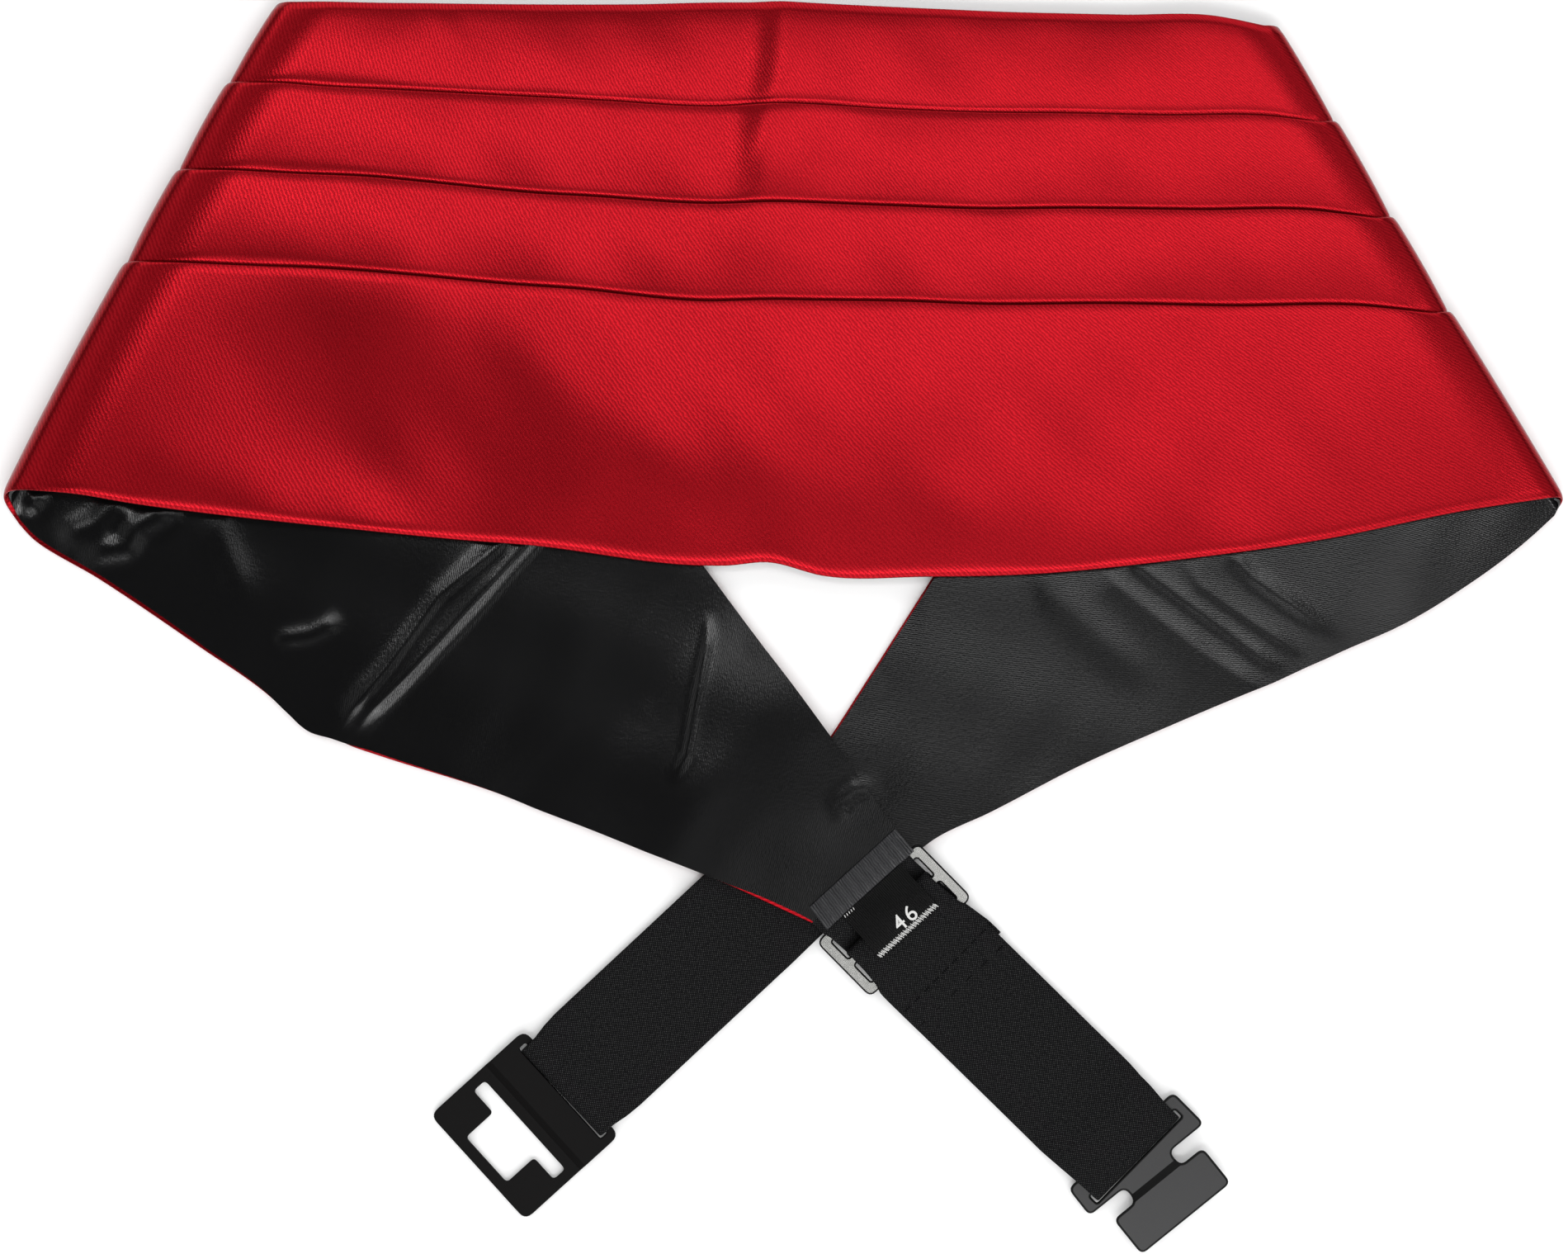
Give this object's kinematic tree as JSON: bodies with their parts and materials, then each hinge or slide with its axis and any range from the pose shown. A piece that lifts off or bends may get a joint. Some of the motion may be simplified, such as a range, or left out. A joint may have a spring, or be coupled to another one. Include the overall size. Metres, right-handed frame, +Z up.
{
  "type": "cummerbund",
  "caption": "Pleated satin cummerbund laid flat, its lined wings turned under, crossed and ending in elastic straps with a T-hook and a buckle plate.",
  "frame": {"origin": "centre of the garment's bounding box on the surface it lies on", "axes": "+X to the right along the front panel as seen from above, +Y from the hook and the buckle plate up to the front's top edge, +Z up from the surface"},
  "size_m": [0.3786, 0.3028, 0.0126],
  "materials": {
    "red_satin": "polyester satin, glossy along its threads",
    "black_satin": "polyester lining satin, soft sheen",
    "grey_ribbed_tape": "ribbed binding tape, dull",
    "black_ribbon": "satin ribbon with a pale woven edge",
    "black_elastic": "ribbed woven elastic, dull",
    "nickel_plate": "nickel-plated steel, polished",
    "grey_lacquer": "dark grey lacquer, satin",
    "black_lacquer": "black lacquer, matt"
  },
  "bodies": {
    "root": {"pleated_front": "red_satin", "pleated_wing_left": "red_satin", "pleated_wing_right": "red_satin", "lining_front": "black_satin", "lining_wing_left": "black_satin", "lining_wing_right": "black_satin", "end_binding": "grey_ribbed_tape", "size_tab": "black_ribbon", "strap_long": "black_elastic", "strap_short": "black_elastic", "slider": "nickel_plate", "hook": "grey_lacquer", "buckle_plate": "black_lacquer"}
  },
  "joints": []
}
